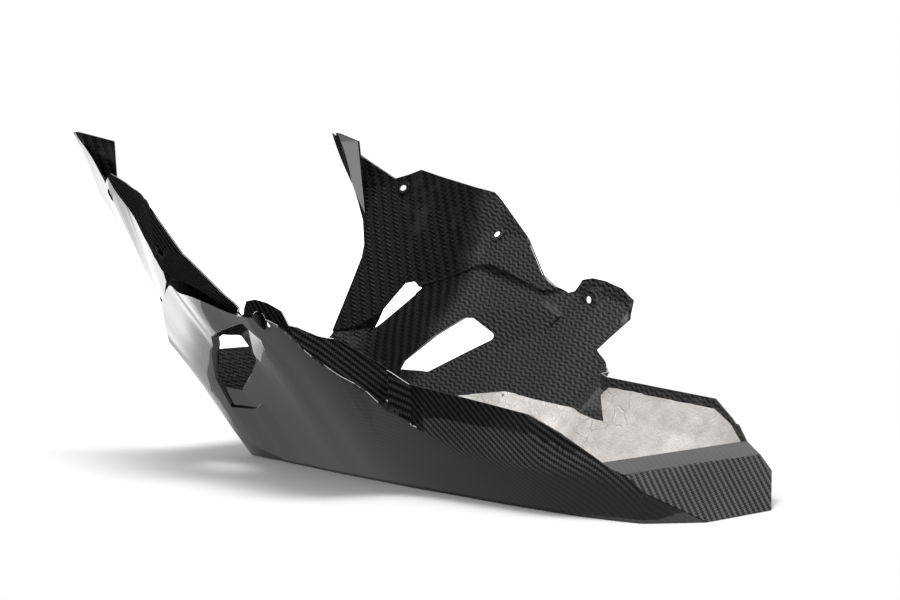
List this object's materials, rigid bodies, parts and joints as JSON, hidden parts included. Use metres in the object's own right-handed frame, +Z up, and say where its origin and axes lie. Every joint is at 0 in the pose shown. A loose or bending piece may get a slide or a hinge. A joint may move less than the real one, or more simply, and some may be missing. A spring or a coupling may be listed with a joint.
{
  "type": "motorcycle belly pan",
  "caption": "Moulded carbon-fibre motorcycle belly pan with flared wings, vented lower panels, a raked tail and a heat-shield foil bonded to its floor.",
  "frame": {"origin": "centre of the pan's length and width, on the flat keel that it rests on", "axes": "+X to the front of the motorcycle, +Y to its left, +Z up"},
  "size_m": [0.667, 0.4304, 0.3005],
  "materials": {
    "carbon": "clear-coated carbon twill outside, raw resin-textured carbon inside",
    "foil": "crinkled satin foil"
  },
  "bodies": {
    "root": {"belly_pan_shell": "carbon", "heat_shield_foil": "foil"}
  },
  "joints": []
}
